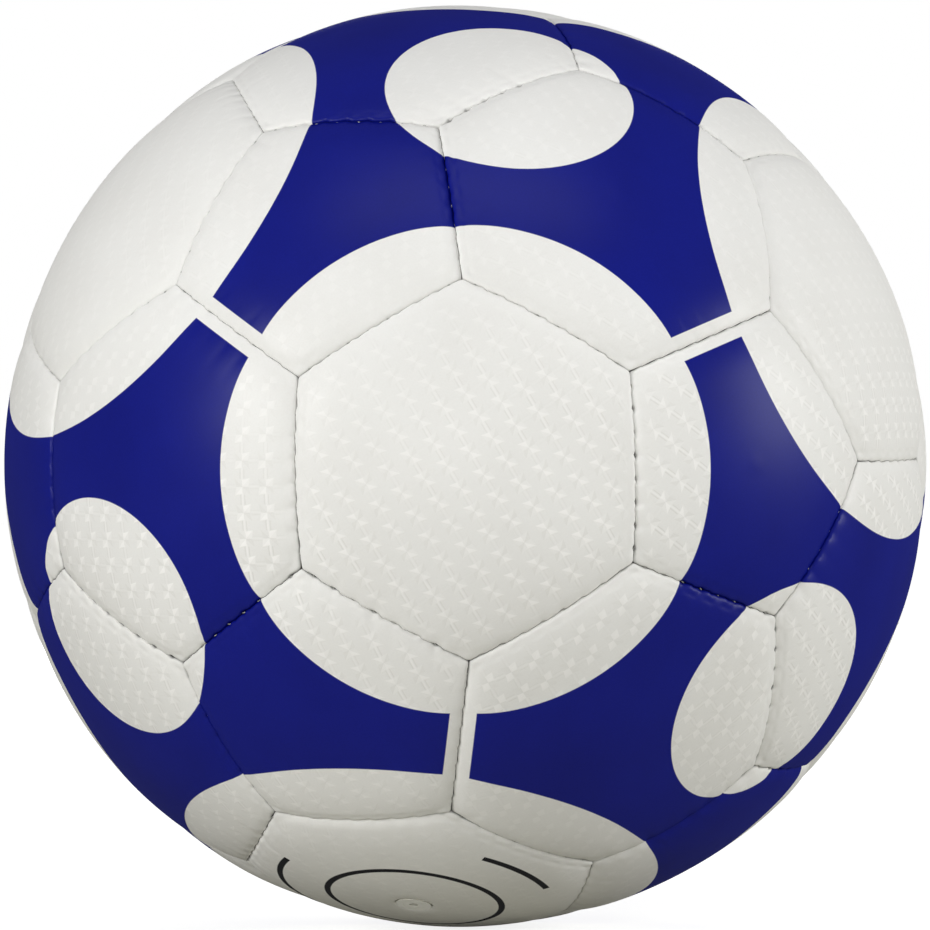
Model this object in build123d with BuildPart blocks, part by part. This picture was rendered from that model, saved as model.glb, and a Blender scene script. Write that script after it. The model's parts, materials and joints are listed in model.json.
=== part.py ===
from build123d import *
import math
import os

# A hand-stitched ball of 20 hexagon and 12 pentagon panels round a rubber bladder.
# Frame: origin at the ball's centre, -Y through the middle of the front hexagon,
# +Z through the middle of the seam above it. All sizes are in millimetres.

# Ball and panels
ball_diameter = 200.5
skin_thickness = 1.6
hem_thickness = 1.5
shoulder_radius = 2.0
foam_thickness = 2.0
lining_thickness = 1.9
bladder_wall = 1.0

# Clearances
seam_clearance = 0.1
ply_clearance = 0.05
bladder_clearance = 0.3

# Seams: saddle stitches, where a seam's two threads cross in every hole
stitch_wall = 0.8
stitch_pitch = 4.2
stitch_end_margin = 3.0
thread_diameter = 0.5
thread_facets = 6
thread_clearance = 0.05

# Valve
boss_diameter = 7.6
boss_clearance = 0.2
boss_recess = 0.3
flange_diameter = 24.0
flange_thickness = 1.5
sleeve_diameter = 11.0
sleeve_length = 12.0
core_diameter = 4.5
core_clearance = 0.05
core_bead_diameter = 6.2
core_bead_length = 2.0
core_bead_depth = 9.0
needle_bore_diameter = 2.0
valve_patch_diameter = 30.0
valve_patch_thickness = 0.5

# Inside the bladder
balance_patch_diameter = 26.0
balance_patch_thickness = 1.5
pad_diameter = 90.0
pad_thickness = 12.0
pad_edge_radius = 4.0
pad_lean = 28.0

# Radii of the layers, from the outside in; the hems reach past the lining, nearly to the bladder
ball_radius = ball_diameter / 2
pocket_radius = ball_radius - skin_thickness
foam_radius = pocket_radius - ply_clearance
lining_radius = foam_radius - foam_thickness - ply_clearance
valve_patch_radius = lining_radius - lining_thickness - ply_clearance
bladder_radius = valve_patch_radius - valve_patch_thickness - ply_clearance
bladder_inner_radius = bladder_radius - bladder_wall
hem_radius = bladder_radius + bladder_clearance
pad_radius = bladder_inner_radius - bladder_clearance

# Distances from a seam's middle plane, and the holes that each take two threads side by side
hem_offset = seam_clearance / 2 + hem_thickness
thread_offset = hem_offset + thread_clearance + thread_diameter / 2
ply_offset = thread_offset + thread_diameter / 2 + thread_clearance
thread_shift = thread_diameter / 2 + thread_clearance / 2
stitch_hole_radius = thread_shift + thread_diameter / 2 + thread_clearance
stitch_radius = ball_radius - shoulder_radius - stitch_wall - stitch_hole_radius

# Radii and heights along the valve's axis
flange_radius = bladder_inner_radius - ply_clearance
boss_top = ball_radius - boss_recess
sleeve_end = flange_radius - flange_thickness - sleeve_length
core_length = boss_top - sleeve_end
boss_hole_radius = boss_diameter / 2 + boss_clearance
core_hole_radius = core_diameter / 2 + core_clearance

# Angles of the 32-panel layout, which the golden ratio gives
golden = (1 + math.sqrt(5)) / 2
hexagon_to_hexagon = math.acos(math.sqrt(5) / 3)
hexagon_to_pentagon = math.acos((golden + 1) / (math.sqrt(3) * math.sqrt(golden + 2)))
hexagon_apothem = hexagon_to_hexagon / 2
pentagon_apothem = hexagon_to_pentagon - hexagon_apothem
hexagon_sides = 6
pentagon_sides = 5
seam_half_angle = math.atan(math.sin(hexagon_apothem) * math.tan(math.pi / hexagon_sides))


def cyclic_directions(first, second, third):
    """The unit vectors with these sizes of coordinate in every cyclic order and with every sign."""
    found = []
    for order in ((first, second, third), (second, third, first), (third, first, second)):
        for signs in range(8):
            signed = [size * (-1 if signs >> place & 1 else 1) for place, size in enumerate(order)]
            direction = Vector(*signed).normalized()
            if all((direction - other).length > 0.01 for other in found):
                found.append(direction)
    return found


# The row's axes, in the axes where the layout's coordinates are simple
front = Vector(1, 1, 1).normalized()
up = Vector(-1, golden, 1 - golden).normalized()
right = up.cross(front)


def in_row_frame(direction):
    """The same direction along the ball's own X, Y and Z."""
    return Vector(direction.dot(right), -direction.dot(front), direction.dot(up))


def from_the_top(direction):
    """Sorts directions in rings from the top down, and each ring from the front round."""
    return (-round(direction.Z, 3), round(math.atan2(direction.X, -direction.Y), 3))


hexagon_directions = cyclic_directions(1, 1, 1) + cyclic_directions(0, 1 / golden, golden)
hexagon_centres = sorted((in_row_frame(d) for d in hexagon_directions), key=from_the_top)
pentagon_centres = sorted((in_row_frame(d) for d in cyclic_directions(0, golden, 1)), key=from_the_top)
valve_axis = in_row_frame(Vector(1, -1, 1).normalized())


def neighbours(centre, centres, angle):
    """The panel centres that lie the given angle away."""
    return [other for other in centres if abs(centre.dot(other) - math.cos(angle)) < 0.01]


def panel_plane(centre, centres, angle):
    """A plane at the ball's centre that looks out of a panel, with +X towards a neighbouring panel."""
    side = neighbours(centre, centres, angle)[0]
    return Plane(origin=(0, 0, 0), x_dir=side - centre * side.dot(centre), z_dir=centre)


def seam_plane(centre, other, angle):
    """A plane at the ball's centre that looks out of a seam's middle, with +X along the seam."""
    sideways = (other - centre * other.dot(centre)).normalized()
    middle = centre * math.cos(angle) + sideways * math.sin(angle)
    return Plane(origin=(0, 0, 0), x_dir=middle.cross(sideways), z_dir=middle)


hexagon_planes = [panel_plane(c, hexagon_centres, hexagon_to_hexagon) for c in hexagon_centres]
pentagon_planes = [panel_plane(c, hexagon_centres, hexagon_to_pentagon) for c in pentagon_centres]
hexagon_seams = []
pentagon_seams = []
for number, centre in enumerate(hexagon_centres):
    for other in neighbours(centre, hexagon_centres[number:], hexagon_to_hexagon):
        hexagon_seams.append(seam_plane(centre, other, hexagon_apothem))
    for other in neighbours(centre, pentagon_centres, hexagon_to_pentagon):
        pentagon_seams.append(seam_plane(centre, other, hexagon_apothem))

# The stitch holes along one seam, as angles from the seam's middle
stitched_half_angle = seam_half_angle - stitch_end_margin / stitch_radius
stitch_spaces = max(1, round(2 * stitched_half_angle * stitch_radius / stitch_pitch))
stitch_step = 2 * stitched_half_angle / stitch_spaces
stitch_angles = [step * stitch_step - stitched_half_angle for step in range(stitch_spaces + 1)]


def seam_directions(sides, apothem, side):
    """For a panel about +Z: the directions of a side's middle, along its seam, and out through the seam."""
    turn = 2 * math.pi * side / sides
    middle = Vector(
        math.sin(apothem) * math.cos(turn), math.sin(apothem) * math.sin(turn), math.cos(apothem)
    )
    along = Vector(-math.sin(turn), math.cos(turn), 0)
    return middle, along, along.cross(middle)


def wedge_shell(sides, apothem, inset, outer_radius, inner_radius):
    """A panel-shaped piece between two spheres, about +Z, drawn in from its seam planes by the inset."""
    with BuildPart() as shell:
        Sphere(outer_radius)
        for side in range(sides):
            middle, along, outward = seam_directions(sides, apothem, side)
            split(bisect_by=Plane(origin=outward * -inset, x_dir=along, z_dir=-outward), keep=Keep.TOP)
        Sphere(inner_radius, mode=Mode.SUBTRACT)
    return shell.part


def stitch_hole_planes(sides, apothem):
    """The stitch holes round one panel, each looking out along its hole."""
    planes = []
    for side in range(sides):
        middle, along, outward = seam_directions(sides, apothem, side)
        for angle in stitch_angles:
            place = (middle * math.cos(angle) + along * math.sin(angle)) * stitch_radius
            planes.append(Plane(origin=place, x_dir=along, z_dir=outward))
    return planes


def panel_skin(sides, apothem):
    """A domed skin with rounded shoulders, its edges turned in as hems that the stitches go through."""
    blank = wedge_shell(sides, apothem, seam_clearance / 2, ball_radius, hem_radius)
    pocket = wedge_shell(sides, apothem, hem_offset, pocket_radius, bladder_radius)
    with BuildPart() as skin:
        add(blank)
        dome = skin.faces().filter_by(GeomType.SPHERE).sort_by(Axis.Z)[-1]
        fillet(dome.edges(), radius=shoulder_radius)
        add(pocket, mode=Mode.SUBTRACT)
        with Locations(*stitch_hole_planes(sides, apothem)):
            Cylinder(stitch_hole_radius, 2 * ply_offset, mode=Mode.SUBTRACT)
    return skin.part


def saddle_thread(first_side):
    """One of the two threads of a seam about +Z: across every hole, and along a hem to the next."""
    radius = stitch_radius + first_side * thread_shift
    points = []
    for number, angle in enumerate(stitch_angles):
        side = first_side * (-1) ** number
        for offset in (-side * thread_offset, side * thread_offset):
            points.append((radius * math.sin(angle), offset, radius * math.cos(angle)))
    with BuildPart() as thread:
        with BuildLine() as route:
            Polyline(*points)
        with BuildSketch(Plane(origin=route.line @ 0, z_dir=route.line % 0)):
            RegularPolygon(thread_diameter / 2, thread_facets)
        sweep(transition=Transition.RIGHT)
    return thread.part


# A cylinder with this alignment stands on its plane
standing = (Align.CENTER, Align.CENTER, Align.MIN)


def dished_disc(axis, radius, outer_radius, thickness):
    """A round patch that follows a sphere, where the axis leaves it."""
    with BuildPart() as disc:
        with Locations(Plane(origin=(0, 0, 0), z_dir=axis)):
            Cylinder(radius, ball_diameter, align=standing)
        Sphere(outer_radius, mode=Mode.INTERSECT)
        Sphere(outer_radius - thickness, mode=Mode.SUBTRACT)
    return disc.part


def save(name, part):
    """Labels a finished piece and writes it."""
    part.label = name
    export_step(part, f"parts/{name}.step", write_pcurves=False)


os.makedirs("parts", exist_ok=True)

# Panels: each skin is a copy of its kind's, set in its place
hexagon_skin = panel_skin(hexagon_sides, hexagon_apothem)
pentagon_skin = panel_skin(pentagon_sides, pentagon_apothem)
nearest_to_valve = min(hexagon_centres, key=lambda centre: (centre - valve_axis).length)
valve_plane = hexagon_planes[hexagon_centres.index(nearest_to_valve)]
plain_hexagon_planes = [plane for plane in hexagon_planes if plane is not valve_plane]

for number, plane in enumerate(plain_hexagon_planes, 1):
    with BuildPart(plane) as hexagon_panel:
        add(hexagon_skin)
    save(f"hexagon_panel_{number:02d}", hexagon_panel.part)

for number, plane in enumerate(pentagon_planes, 1):
    with BuildPart(plane) as pentagon_panel:
        add(pentagon_skin)
    save(f"pentagon_panel_{number:02d}", pentagon_panel.part)

with BuildPart(valve_plane) as valve_panel:
    add(hexagon_skin)
    Cylinder(boss_hole_radius, ball_diameter, align=standing, mode=Mode.SUBTRACT)
save("valve_panel", valve_panel.part)

# Plies in the panels' pockets, with the valve's hole through those behind the valve panel
ply_layers = (("foam", foam_radius, foam_thickness), ("lining", lining_radius, lining_thickness))
for layer, outer_radius, thickness in ply_layers:
    inner_radius = outer_radius - thickness
    hexagon_ply = wedge_shell(hexagon_sides, hexagon_apothem, ply_offset, outer_radius, inner_radius)
    pentagon_ply = wedge_shell(pentagon_sides, pentagon_apothem, ply_offset, outer_radius, inner_radius)
    with BuildPart() as hexagon_plies:
        with Locations(*hexagon_planes):
            add(hexagon_ply)
        with Locations(valve_plane):
            Cylinder(boss_hole_radius, ball_diameter, align=standing, mode=Mode.SUBTRACT)
    save(f"hexagon_{layer}_plies", hexagon_plies.part)
    with BuildPart() as pentagon_plies:
        with Locations(*pentagon_planes):
            add(pentagon_ply)
    save(f"pentagon_{layer}_plies", pentagon_plies.part)

# Thread: two for each seam
saddle_threads = [saddle_thread(-1), saddle_thread(1)]
with BuildPart() as hexagon_seam_threads:
    with Locations(*hexagon_seams):
        add(saddle_threads)
save("hexagon_seam_threads", hexagon_seam_threads.part)

with BuildPart() as pentagon_seam_threads:
    with Locations(*pentagon_seams):
        add(saddle_threads)
save("pentagon_seam_threads", pentagon_seam_threads.part)

# Bladder: an airtight rubber ball that the hems lie on, with the valve bonded in its wall
with BuildPart(valve_plane) as bladder:
    Sphere(bladder_radius)
    Sphere(bladder_inner_radius, mode=Mode.SUBTRACT)
    Cylinder(boss_hole_radius, ball_diameter, align=standing, mode=Mode.SUBTRACT)
save("bladder", bladder.part)

# Valve housing: a flange inside the bladder, a boss out to the skin and a sleeve inwards
sleeve_plane = Plane(origin=valve_axis * sleeve_end, z_dir=valve_axis)
bead_plane = Plane(origin=valve_axis * (boss_top - core_bead_depth), z_dir=valve_axis)
flange = dished_disc(valve_axis, flange_diameter / 2, flange_radius, flange_thickness)
with BuildPart() as valve_housing:
    add(flange)
    with Locations(sleeve_plane):
        Cylinder(sleeve_diameter / 2, sleeve_length + flange_thickness / 2, align=standing)
        Cylinder(boss_diameter / 2, core_length, align=standing)
        Cylinder(core_hole_radius, core_length, align=standing, mode=Mode.SUBTRACT)
    with Locations(bead_plane):
        bead_groove_length = core_bead_length + 2 * core_clearance
        Cylinder(core_bead_diameter / 2 + core_clearance, bead_groove_length, mode=Mode.SUBTRACT)
save("valve_housing", valve_housing.part)

# Valve core: a rubber plug with a bead that snaps into the housing, and the needle's way through it
with BuildPart() as valve_core:
    with Locations(bead_plane):
        Cylinder(core_bead_diameter / 2, core_bead_length)
    with Locations(sleeve_plane):
        Cylinder(core_diameter / 2, core_length, align=standing)
        Cylinder(needle_bore_diameter / 2, core_length, align=standing, mode=Mode.SUBTRACT)
save("valve_core", valve_core.part)

# Patches: one round the valve, outside the bladder, and one opposite it, inside
patch_disc = dished_disc(valve_axis, valve_patch_diameter / 2, valve_patch_radius, valve_patch_thickness)
with BuildPart() as valve_patch:
    add(patch_disc)
    with Locations(valve_plane):
        Cylinder(boss_hole_radius, ball_diameter, align=standing, mode=Mode.SUBTRACT)
save("valve_patch", valve_patch.part)

balance_disc = dished_disc(-valve_axis, balance_patch_diameter / 2, flange_radius, balance_patch_thickness)
with BuildPart() as balance_patch:
    add(balance_disc)
save("balance_patch", balance_patch.part)

# Bounce pad: a felt pad that lies loose at the bottom of the bladder, beside the valve
down = Vector(0, 0, -1)
away_from_valve = (down * valve_axis.dot(down) - valve_axis).normalized()
lean = math.radians(pad_lean)
pad_axis = down * math.cos(lean) + away_from_valve * math.sin(lean)
pad_disc = dished_disc(pad_axis, pad_diameter / 2, pad_radius, pad_thickness)
with BuildPart() as bounce_pad:
    add(pad_disc)
    fillet(bounce_pad.edges(), radius=min(pad_edge_radius, 0.4 * pad_thickness))
save("bounce_pad", bounce_pad.part)
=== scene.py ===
"""The finish of a hand-stitched 32-panel ball: puffed leather panels, stitches, print, valve and studio."""
import json
import math

import bpy
import numpy as np
from mathutils import Matrix, Vector


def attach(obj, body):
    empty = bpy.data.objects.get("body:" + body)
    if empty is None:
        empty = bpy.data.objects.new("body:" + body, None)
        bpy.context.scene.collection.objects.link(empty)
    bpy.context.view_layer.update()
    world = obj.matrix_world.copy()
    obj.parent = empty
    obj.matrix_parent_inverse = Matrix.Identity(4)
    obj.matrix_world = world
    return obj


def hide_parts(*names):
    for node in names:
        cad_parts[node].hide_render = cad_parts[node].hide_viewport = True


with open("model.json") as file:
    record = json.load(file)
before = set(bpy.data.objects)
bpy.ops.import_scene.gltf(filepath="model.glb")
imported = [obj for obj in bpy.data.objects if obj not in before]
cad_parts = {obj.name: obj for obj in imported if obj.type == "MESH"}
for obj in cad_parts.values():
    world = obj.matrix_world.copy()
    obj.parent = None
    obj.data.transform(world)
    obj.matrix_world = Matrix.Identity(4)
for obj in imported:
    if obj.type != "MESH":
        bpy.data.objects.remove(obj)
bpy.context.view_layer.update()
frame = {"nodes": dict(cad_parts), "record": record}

# ---------------------------------------------------------------- sizes, in metres unless said
mounts = {mount["name"]: mount for mount in frame["record"]["mounts"]}
ball_radius = -mounts["ground_contact"]["pos_m"][2]

# Leather: a sharp shoulder beside the seam, a soft one outside it, and the padded face's fall towards both.
# A reach is measured in from the seam, and a higher sharpness rounds a panel's corners off less.
skin_thickness = 0.0016
hem_thickness = 0.0015
hem_depth = 0.0059
fold_depth = 0.0035
surface_margin = 0.00003
shoulder_width = 0.0014
shoulder_depth = 0.0019
shoulder_fullness = 4.0
shoulder_sharpness = 7.0
soft_shoulder_reach = 0.0028
soft_shoulder_drop = 0.00042
soft_shoulder_sharpness = 3
pillow_reach = 0.010
pillow_drop = 0.0007
pillow_sharpness = 2
pillow_corner_pull = 1.12
unevenness = 0.00012

# Seams: their stitch holes and slack lips, how much of the shoulder's depth a tight or closed one loses,
# and how far they wander. Those of the upper part are closed, from a height in shares of the ball's radius.
seam_gap = 0.00006
hole_opening = 0.00020
hole_half_length = 0.00050
gape_opening = 0.00006
slack_share = 0.5
tight_share = 0.36
closed_share = 0.4
closed_from = -0.1
closed_over = 0.5
closed_hole_loss = 0.6
disc_seam_holes = 1.3
disc_seam_closed = 1.3
disc_thread_sink = 0.0009
wander = 0.00014
scallop_share = 0.8
bow = 0.00022
proud_edge = 0.00018

# Puckers at the stitches, the pressed channel between them, and longer creases
pucker_depth = 0.00010
pucker_width = 0.0012
pucker_reach = 0.0024
channel_depth = 0.00016
channel_inset = 0.0018
channel_half_width = 0.0006
wrinkle_depth = 0.00009
wrinkle_width = 0.0011
wrinkle_reach = 0.0065
wrinkle_slant = 0.6

# Stitches
stitch_pitch = 0.0049
stitch_end_margin = 0.0030
stitch_hole_depth = 0.0034
thread_diameter = 0.00023
thread_depth = 0.00180
thread_reach = 0.00065
thread_turn = math.radians(68)
thread_slant = 0.25

# Valve
valve_hole_radius = 0.0040
valve_lip = 0.0006

# Rings of a panel's mesh: points to a side of each, and how far in from the seams they lie
fine, medium, coarse, sparse = 96, 48, 24, 12
face_rings = 8
shoulder_rings = 12
medium_insets = (0.0115, 0.0102, 0.0090, 0.0079, 0.0069, 0.0060)
fine_insets = (0.0052, 0.0045, 0.0039, 0.0034, 0.0030, 0.0026, 0.0022, 0.0019, 0.0016)
face_edge = 0.013
pocket_edge = 0.012
face_middle_radius = 0.0015
pocket_middle_radius = 0.004

# Print
large_disc_angle = math.radians(30.65)
small_disc_angle = math.radians(15.3)
band_half_width = 0.0028
ring_line = 0.0014
ring_radius = 0.0189
arc_radius = 0.0298
arc_ends = ((-2.27, -1.10), (1.52, 2.28))
print_edge = 0.00008

# Embossed lattice of stars and bars: its pitch, and the rest in shares of that
emboss_pitch = 0.0055
notch_reach = 0.265
tip_reach = 0.335
star_blur = 0.02
bar_half_width = 0.035
bar_overlap = 0.04
score_offset = 0.085
score_half_width = 0.017
score_start = 0.03
score_full = 0.06
edge_blur = 0.012

# How bright the painted gleam of facets and bars is at rest, how much the way they face changes that, and the
# play in it
facet_rest, facet_gleam = 0.26, 0.70
bar_rest, bar_gleam = 0.38, 0.40
gleam_play = 0.2

# Where the emboss and its painted gleam fade: between these heights, in shares of the ball's radius, down to
# this share. Towards the top this fade stands in for light falling square on the facets.
emboss_fade_heights = ((0.35, -0.10, 0.22), (-0.80, -0.55, 0.35))
plain_edge = 0.0012
pressed_edge = 0.0045
emboss_height = 0.00006

# Depths at which the painted shade in a seam starts, reaches its full share, and paints the deepest stitch
# holes black
shade_start_depth = 0.0015
dark_depth = 0.0022
pit_depth = 0.0028

# ---------------------------------------------------------------- layout of the 32 panels
golden = (1 + math.sqrt(5)) / 2
hexagon_to_hexagon = math.acos(math.sqrt(5) / 3)
hexagon_to_pentagon = math.acos((golden + 1) / (math.sqrt(3) * math.sqrt(golden + 2)))
hexagon_apothem = hexagon_to_hexagon / 2
pentagon_apothem = hexagon_to_pentagon - hexagon_apothem
seam_half_angle = math.atan(math.sin(hexagon_apothem) * math.tan(math.pi / 6))

stitched_half_angle = seam_half_angle - stitch_end_margin / (ball_radius - stitch_hole_depth)
stitch_spaces = round(2 * stitched_half_angle * (ball_radius - stitch_hole_depth) / stitch_pitch)
stitch_step = 2 * stitched_half_angle / stitch_spaces * ball_radius


def unit(vector):
    return np.asarray(vector, float) / np.linalg.norm(vector)


# The ball's own axes, given in the axes where the layout's coordinates are simple
front = unit([1, 1, 1])
up = unit([-1, golden, 1 - golden])
simple_to_ball = np.array([np.cross(up, front), -front, up])


def cyclic_directions(first, second, third):
    """The ball's directions with these sizes of simple coordinate, in cyclic orders and with every sign."""
    found = []
    for order in ((first, second, third), (second, third, first), (third, first, second)):
        for signs in range(8):
            signed = unit([size * (-1 if signs >> place & 1 else 1) for place, size in enumerate(order)])
            if all(np.linalg.norm(signed - other) > 0.01 for other in found):
                found.append(signed)
    return [simple_to_ball @ direction for direction in found]


hexagon_centres = cyclic_directions(1, 1, 1) + cyclic_directions(0, 1 / golden, golden)
pentagon_centres = cyclic_directions(0, golden, 1)
white_centres = cyclic_directions(1, 1, 1)

# A panel's lattice points at the lowest hexagon beside it, or at the one so many places up from that
lattice_side = {"hexagon_panel_09": 1, "hexagon_panel_14": 1, "hexagon_panel_16": 1,
                "hexagon_panel_17": 2, "pentagon_panel_07": 1, "pentagon_panel_09": 1}
# How far from upright, in degrees, the facets of a panel's stars are painted brightest
usual_gleam = 20
gleam_turn = {"hexagon_panel_09": -32, "hexagon_panel_10": 57, "hexagon_panel_14": 46,
              "hexagon_panel_16": -30, "hexagon_panel_17": -7,
              "pentagon_panel_07": 40, "pentagon_panel_09": 40}


class Panel:
    """A panel's place: the directions of its centre and of its sides' middles, along and into each side."""

    def __init__(self, name, node, centre, sides, apothem):
        towards = hexagon_to_hexagon if sides == 6 else hexagon_to_pentagon
        near = [o for o in hexagon_centres if abs(centre @ o - math.cos(towards)) < 0.01]
        near.sort(key=lambda o: round(o[2], 3) + 0.001 * o[0])
        side = near[lattice_side.get(node, 0)]
        first = unit(side - centre * (side @ centre))
        self.name, self.node, self.centre, self.sides, self.apothem = name, node, centre, sides, apothem
        self.axes = np.array([first, np.cross(centre, first), centre])
        turns = [2 * math.pi * number / sides for number in range(sides)]
        outwards = [math.cos(turn) * self.axes[0] + math.sin(turn) * self.axes[1] for turn in turns]
        self.middles = np.array([math.sin(apothem) * o + math.cos(apothem) * centre for o in outwards])
        self.alongs = np.array([np.cross(centre, o) for o in outwards])
        self.inwards = np.cross(self.middles, self.alongs)


def middle_direction(item):
    """The direction in which a solid of the frame lies from the ball's middle."""
    places = np.zeros(3 * len(item.data.vertices))
    item.data.vertices.foreach_get("co", places)
    return unit(places.reshape(-1, 3).mean(axis=0))


panels = []
for node, item in frame["nodes"].items():
    if "panel" not in node:
        continue
    centres, sides, apothem = hexagon_centres, 6, hexagon_apothem
    if node.startswith("pentagon"):
        centres, sides, apothem = pentagon_centres, 5, pentagon_apothem
    centre = centres[int(np.argmax(centres @ middle_direction(item)))]
    panels.append(Panel(node.replace("panel", "leather"), node, centre, sides, apothem))

# Each seam once, with the side's directions of the first panel that has it
seam_middles, seam_alongs = [], []
for panel in panels:
    for middle, along in zip(panel.middles, panel.alongs):
        if all(middle @ other < 0.999 for other in seam_middles):
            seam_middles.append(middle)
            seam_alongs.append(along)
seam_middles = np.array(seam_middles)
seam_alongs = np.array(seam_alongs)

# What makes each seam and each stitch a little different
chance = np.random.RandomState(7)
seam_count = len(seam_middles)
seam_wander = wander * chance.uniform(0.5, 1.2, seam_count)
seam_phase = chance.uniform(0, 2 * math.pi, seam_count)
seam_bow = bow * chance.uniform(-1, 1, seam_count)
seam_proud = proud_edge * chance.uniform(-1, 1, seam_count)
seam_slant = wrinkle_slant * chance.uniform(-1, 1, (seam_count, 2))
seam_creasing = chance.uniform(0.1, 1.3, (seam_count, 2)) ** 2
seam_channel = chance.uniform(-0.3, 1.2, (seam_count, 2))
seam_holes = chance.uniform(0.1, 1.2, seam_count)
seam_gape = chance.uniform(0.0, 1.0, seam_count)
seam_closed = np.clip((seam_middles[:, 2] - closed_from) / closed_over, 0, 1)
seam_holes *= 1 - closed_hole_loss * seam_closed
# The seams through the small discs show their stitch holes most
through_discs = np.abs(seam_middles @ simple_to_ball).max(axis=1) > 0.999
seam_holes[through_discs] = disc_seam_holes
seam_closed[through_discs] = disc_seam_closed
seam_gape[through_discs] = 0
seam_channel[through_discs] = 1
stitch_pull = chance.uniform(0.3, 1.3, (seam_count, stitch_spaces + 1))
wave_directions = np.array([unit(v) for v in chance.normal(size=(7, 3))])
wave_lengths = chance.uniform(0.022, 0.06, 7)
wave_phases = chance.uniform(0, 2 * math.pi, 7)


# ---------------------------------------------------------------- shape of a panel
def seam_shift(seam, travel):
    """How far a seam runs off its middle plane, at a distance along it."""
    half = seam_half_angle * ball_radius
    share = np.clip(np.abs(travel) / half, 0, 1)
    turn = 2 * math.pi * travel / stitch_step + seam_phase[seam]
    scallop = (np.sin(turn) + np.sin(2 * turn) / 2 + np.sin(3 * turn) / 3) * scallop_share
    return seam_wander[seam] * scallop * (1 - share ** 6) + seam_bow[seam] * np.cos(share * math.pi / 2)


def pulled(seam, travel):
    """At a distance along a seam: how hard its nearest stitch pulls, and how far off that stitch is."""
    place = travel / stitch_step + stitch_spaces / 2
    nearest = np.clip(np.round(place), 0, stitch_spaces)
    return stitch_pull[seam][nearest.astype(int)], (place - nearest) * stitch_step


def rounded_distance(distances, reach, sharpness):
    """The distance from a polygon's edge, up to the reach, with the polygon's corners rounded off."""
    short = np.clip(1 - distances / reach, 0, None)
    return reach * (1 - (short ** sharpness).sum(axis=1) ** (1 / sharpness))


def shaped(panel, directions):
    """The leather's outside at these directions, how deep it lies below the ball's sphere, and its shift."""
    distances = ball_radius * directions @ panel.inwards.T
    travels = ball_radius * np.arctan2(directions @ panel.alongs.T, directions @ panel.middles.T)

    edge = np.clip(rounded_distance(distances, shoulder_width, shoulder_sharpness), 0, None)
    fallen = np.clip(1 - edge / shoulder_width, 0, 1) ** shoulder_fullness
    roll = 1 - (1 - fallen) ** (1 / shoulder_fullness)
    soft_edge = rounded_distance(distances, soft_shoulder_reach, soft_shoulder_sharpness)
    soft_shoulder = np.clip(1 - soft_edge / soft_shoulder_reach, 0, 1) ** 2
    pillow_edge = rounded_distance(distances, pillow_reach, pillow_sharpness)
    pillow = np.clip(1 - pillow_edge / pillow_reach, 0, pillow_corner_pull) ** 2
    swell = 2 * math.pi * ball_radius * (directions @ wave_directions.T) / wave_lengths
    waves = np.sin(swell + wave_phases).mean(axis=1)
    depth = pillow_drop * pillow + soft_shoulder_drop * soft_shoulder + unevenness * (1 + waves)

    shift = np.zeros_like(directions)
    gape, closed, nearness = np.zeros((3, len(directions)))
    for side in range(panel.sides):
        seam = int(np.argmax(seam_middles @ panel.middles[side]))
        sense = 1 if panel.alongs[side] @ seam_alongs[seam] > 0 else -1
        travel = sense * travels[:, side]
        away = np.clip(distances[:, side], 0, None)
        near = np.exp(-(away / pucker_reach) ** 2)
        flank = (sense + 1) // 2

        # A stitch hole at each stitch and slack lips between them
        pull, beside = pulled(seam, travel)
        hole = pull * seam_holes[seam] * np.exp(-(beside / hole_half_length) ** 2)
        slack = seam_gape[seam] * np.sin(math.pi * np.clip(beside / stitch_step, -0.5, 0.5)) ** 2
        gape += near * np.clip(hole + slack_share * slack, 0, 1)
        closed += near * seam_closed[seam]
        nearness += near

        # The channel, the puckers, the creases, and one side a little proud of the other
        slanted = beside - seam_slant[seam][flank] * away
        crease = wrinkle_depth * seam_creasing[seam][flank]
        between = 1 - np.exp(-(beside / pucker_width) ** 2)
        channel = channel_depth * max(seam_channel[seam][flank], 0) * between
        depth += channel * np.exp(-((away - channel_inset) / channel_half_width) ** 2)
        depth += pucker_depth * pull * np.exp(-(beside / pucker_width) ** 2 - (away / pucker_reach) ** 2)
        depth += crease * pull * np.exp(-(slanted / wrinkle_width) ** 2 - (away / wrinkle_reach) ** 2)
        depth += sense * seam_proud[seam] * np.exp(-(away / shoulder_width) ** 2)

        # The seam's wandering, and its lips' parting
        shift += np.outer(seam_shift(seam, travel) * near, -sense * panel.inwards[side])
        parting = hole_opening * hole + gape_opening * slack
        shift += np.outer(parting * np.exp(-(away / hole_half_length) ** 2), panel.inwards[side])
    gape = gape / np.maximum(nearness, 1e-6)
    closed = closed / np.maximum(nearness, 1e-6)
    closed *= closed_share * (1 - gape)
    depth += shoulder_depth * (tight_share + (1 - tight_share) * gape) * (1 - closed) * roll
    if panel.node == "valve_panel":
        from_valve = ball_radius * np.arccos(np.clip(directions @ panel.centre, -1, 1))
        lip = np.clip(1 - (from_valve - valve_hole_radius) / valve_lip, 0, 1)
        depth += valve_lip * (1 - np.sqrt(1 - lip ** 2))
    depth = np.clip(depth, 0, None)
    return directions * (ball_radius - surface_margin - depth)[:, None] + shift, depth, shift


def ring(panel, inset, per_side, roundness=0.0):
    """Directions once round a panel, a distance in from its seams, from a corner on; 1 is a round ring."""
    reach = math.tan(panel.apothem - inset / ball_radius)
    directions = []
    for side in range(panel.sides):
        turn = 2 * math.pi * side / panel.sides
        for step in range(per_side):
            sideways = reach * math.tan(math.pi / panel.sides) * (2 * step / per_side - 1)
            length = math.hypot(reach, sideways)
            scale = (1 - roundness) + roundness * reach / length
            x = scale * (reach * math.cos(turn) - sideways * math.sin(turn))
            y = scale * (reach * math.sin(turn) + sideways * math.cos(turn))
            directions.append((x, y, 1))
    directions = np.array(directions) @ panel.axes
    return directions / np.linalg.norm(directions, axis=1)[:, None]


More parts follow.
